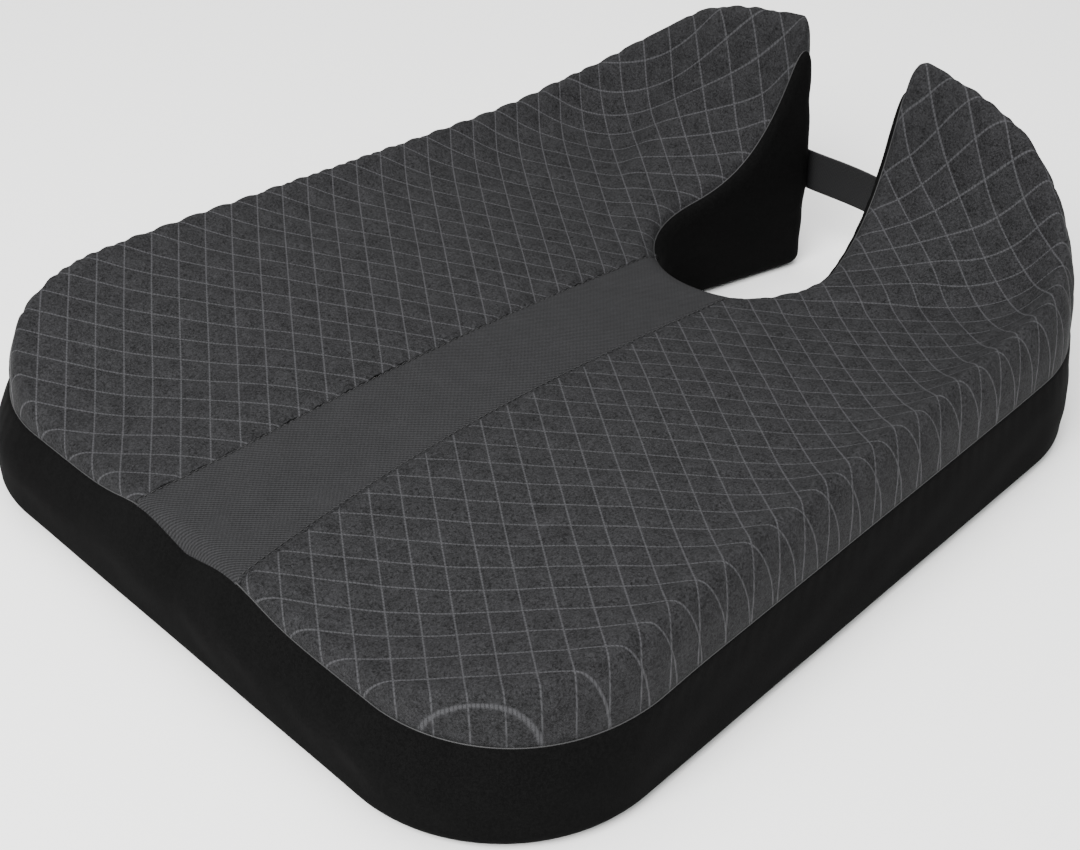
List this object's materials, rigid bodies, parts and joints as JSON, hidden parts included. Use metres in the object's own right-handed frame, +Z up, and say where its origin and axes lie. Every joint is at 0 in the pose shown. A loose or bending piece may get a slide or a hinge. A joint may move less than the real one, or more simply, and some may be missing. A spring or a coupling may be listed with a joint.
{
  "type": "seat cushion",
  "caption": "Contour seat cushion with a dished top, raised hip wings at the back, an open tailbone cut-out, a zip-off knitted cover and a webbing carry strap.",
  "frame": {"origin": "middle of the footprint's box, on the floor plane under the cushion", "axes": "+Z up; -Y is the front edge under the thighs; +Y is the back, where the cut-out opens; +X is the sitter's left when they face -Y"},
  "size_m": [0.3896, 0.4504, 0.1523],
  "materials": {
    "knit_panel": "quilted double knit with a diamond pattern in fine lighter threads",
    "knit_band": "finely ribbed knit",
    "knit_wall": "smooth stretch knit",
    "base_cloth": "woven cloth with small rubber grip dots",
    "foam": "open-cell polyurethane foam",
    "zip_nylon": "nylon",
    "zip_metal": "black enamelled zinc",
    "webbing": "woven webbing"
  },
  "bodies": {
    "cushion": {"foam_core": "foam", "top_panel_left": "knit_panel", "top_panel_right": "knit_panel", "centre_band": "knit_band", "outer_wall": "knit_wall", "cutout_wall": "knit_wall", "base_front": "base_cloth", "base_rear": "base_cloth", "zip_tape_front": "zip_nylon", "zip_tape_rear": "zip_nylon", "zip_teeth_front": "zip_nylon", "zip_teeth_rear": "zip_nylon", "zip_top_stop_front": "zip_metal", "zip_top_stop_rear": "zip_metal", "zip_bottom_stop": "zip_metal", "carry_strap": "webbing"},
    "slider": {"zip_slider": "zip_metal"},
    "pull": {"zip_pull": "zip_metal"}
  },
  "joints": [
    {"name": "zip_slide", "type": "slide", "parent": "cushion", "child": "slider", "axis": [-1, 0, 0], "range_m": [0, 0.266]},
    {"name": "pull_hinge", "type": "hinge", "parent": "slider", "child": "pull", "pos_m": [0.138, -0.11815, 0.0052], "axis": [0, -1, 0], "range_deg": [0, 170]}
  ]
}
